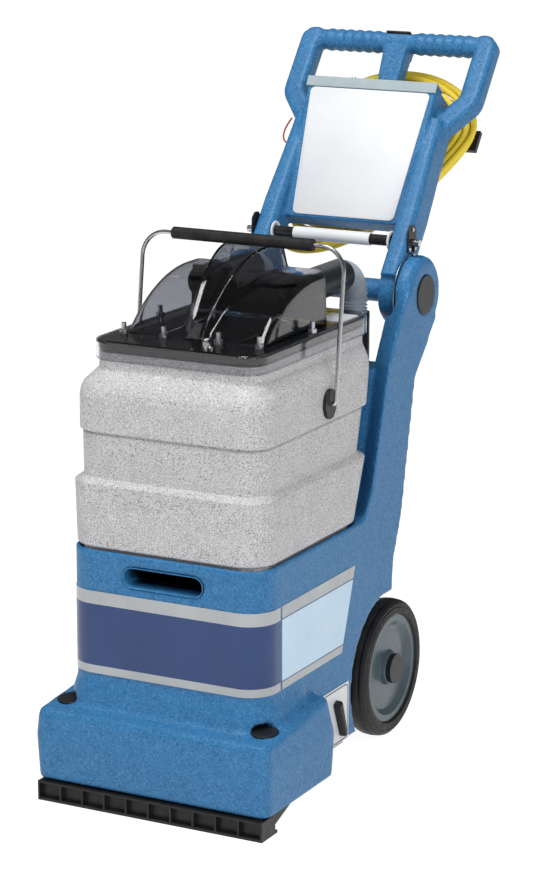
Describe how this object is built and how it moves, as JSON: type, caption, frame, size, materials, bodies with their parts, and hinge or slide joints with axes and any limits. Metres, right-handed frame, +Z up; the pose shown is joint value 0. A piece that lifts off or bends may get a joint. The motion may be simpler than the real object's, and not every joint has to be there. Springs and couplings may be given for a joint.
{
  "type": "carpet_extractor",
  "caption": "Self-contained carpet extractor: brush deck, lift-off recovery tank with smoked dome, folding handle, coiled cord and two 8 inch wheels.",
  "frame": {"origin": "on the floor, under the middle of the machine's box", "axes": "X to the machine's right as seen facing its front from outside, front faces -Y, Z up"},
  "size_m": [0.364, 0.8069, 0.9963],
  "materials": {
    "blue_shell": "rotomoulded blue, lightly mottled",
    "grey_tank": "rotomoulded pale grey with dark flecks",
    "clear_smoke": "clear smoked vacuum-formed plastic",
    "black_plastic": "moulded",
    "white_plastic": "smooth",
    "grey_hub": "moulded",
    "black_rubber": "moulded",
    "tyre_rubber": "solid tyre",
    "steel": "drawn",
    "chrome": "plated",
    "strip_aluminium": "extruded",
    "label_vinyl": "printed film, plain bands",
    "yellow_cord": "sheathed cord",
    "red_strap": "woven strap",
    "bristle": "nylon filament",
    "motor_paint": "painted",
    "hose_grey": "ribbed hose"
  },
  "bodies": {
    "base": {"body_shell": "blue_shell", "base_pan": "black_plastic", "front_label": "label_vinyl", "side_labels": "label_vinyl", "deck_caps": "black_plastic", "brush_bearings": "black_plastic", "drive_belt": "black_rubber", "brush_motor": "motor_paint", "spray_bar": "steel", "pump": "motor_paint", "solution_tank": "black_plastic", "vac_motor": "motor_paint", "hose_spigots": "black_plastic", "axle": "steel", "axle_caps": "black_plastic", "selector_plate": "white_plastic", "pivot_shaft": "steel", "pivot_caps": "black_plastic", "friction_washers": "black_rubber"},
    "shoe": {"vac_shoe": "black_plastic"},
    "brush": {"brush_core": "steel", "brush_bristles": "bristle", "brush_pulley": "black_plastic"},
    "motor_rotor": {"motor_pulley": "black_plastic"},
    "left_wheel": {"left_tyre": "tyre_rubber", "left_hub": "grey_hub"},
    "right_wheel": {"right_tyre": "tyre_rubber", "right_hub": "grey_hub"},
    "selector": {"selector_knob": "black_plastic"},
    "handle": {"pivot_tube": "blue_shell", "handle_frame": "blue_shell", "rear_cover": "black_plastic", "cover_screws": "steel", "sign_panel": "white_plastic", "top_strip": "strip_aluminium", "strip_knob": "chrome", "latch_plates": "black_plastic", "latch_screws": "steel", "cord_hooks": "black_plastic", "cord_gland": "black_plastic", "cord_coil": "yellow_cord", "mains_plug": "black_plastic", "cord_tie": "red_strap"},
    "rod": {"lock_rod": "black_plastic", "rod_sleeve": "white_plastic"},
    "vac_rocker": {"vac_switch": "black_plastic"},
    "brush_rocker": {"brush_switch": "black_plastic"},
    "paddle": {"spray_paddle": "black_plastic"},
    "tank": {"recovery_tank": "grey_tank", "bail_ears": "black_plastic", "lid_gasket": "black_rubber", "lid_plate": "black_plastic", "dome": "clear_smoke", "lid_studs": "chrome", "float_cage": "black_plastic", "lid_label": "white_plastic", "hose_cuffs": "black_plastic", "suction_hoses": "hose_grey"},
    "bail": {"bail_wire": "steel", "bail_grip": "black_rubber"}
  },
  "joints": [
    {"name": "handle_fold", "type": "hinge", "parent": "base", "child": "handle", "pos_m": [0, 0.1495, 0.645], "axis": [1, 0, 0], "range_deg": [-105, 25]},
    {"name": "rod_slide", "type": "slide", "parent": "handle", "child": "rod", "axis": [0, 0.0525, 0.9986], "range_m": [-0.02, 0]},
    {"name": "vac_rock", "type": "hinge", "parent": "handle", "child": "vac_rocker", "pos_m": [-0.022, 0.25227, 0.7741], "axis": [1, 0, 0], "range_deg": [-8, 8]},
    {"name": "brush_rock", "type": "hinge", "parent": "handle", "child": "brush_rocker", "pos_m": [0.022, 0.25227, 0.7741], "axis": [1, 0, 0], "range_deg": [-8, 8]},
    {"name": "paddle_press", "type": "hinge", "parent": "handle", "child": "paddle", "pos_m": [0, 0.37132, 0.99389], "axis": [1, 0, 0], "range_deg": [-7, 0], "stiffness_Nm_per_rad": 0.4},
    {"name": "left_roll", "type": "hinge", "parent": "base", "child": "left_wheel", "pos_m": [-0.125, 0.0725, 0.1016], "axis": [1, 0, 0], "continuous": true},
    {"name": "right_roll", "type": "hinge", "parent": "base", "child": "right_wheel", "pos_m": [0.125, 0.0725, 0.1016], "axis": [1, 0, 0], "continuous": true},
    {"name": "shoe_drop", "type": "hinge", "parent": "base", "child": "shoe", "pos_m": [0, -0.2485, 0.052], "axis": [1, 0, 0], "range_deg": [0, 5]},
    {"name": "brush_spin", "type": "hinge", "parent": "base", "child": "brush", "pos_m": [0, -0.2805, 0.053], "axis": [1, 0, 0], "continuous": true},
    {"name": "motor_spin", "type": "hinge", "parent": "base", "child": "motor_rotor", "pos_m": [-0.136, -0.2485, 0.19], "axis": [1, 0, 0], "continuous": true},
    {"name": "selector_turn", "type": "hinge", "parent": "base", "child": "selector", "pos_m": [0.152, -0.1295, 0.088], "axis": [1, 0, 0], "range_deg": [0, 90]},
    {"name": "tank_lift", "type": "slide", "parent": "base", "child": "tank", "axis": [0, 0, 1], "range_m": [0, 0.25]},
    {"name": "bail_swing", "type": "hinge", "parent": "tank", "child": "bail", "pos_m": [0, -0.1505, 0.545], "axis": [1, 0, 0], "range_deg": [0, 95]}
  ],
  "couplings": [
    {"joint": "motor_spin", "follows": "brush_spin", "ratio": 2}
  ]
}
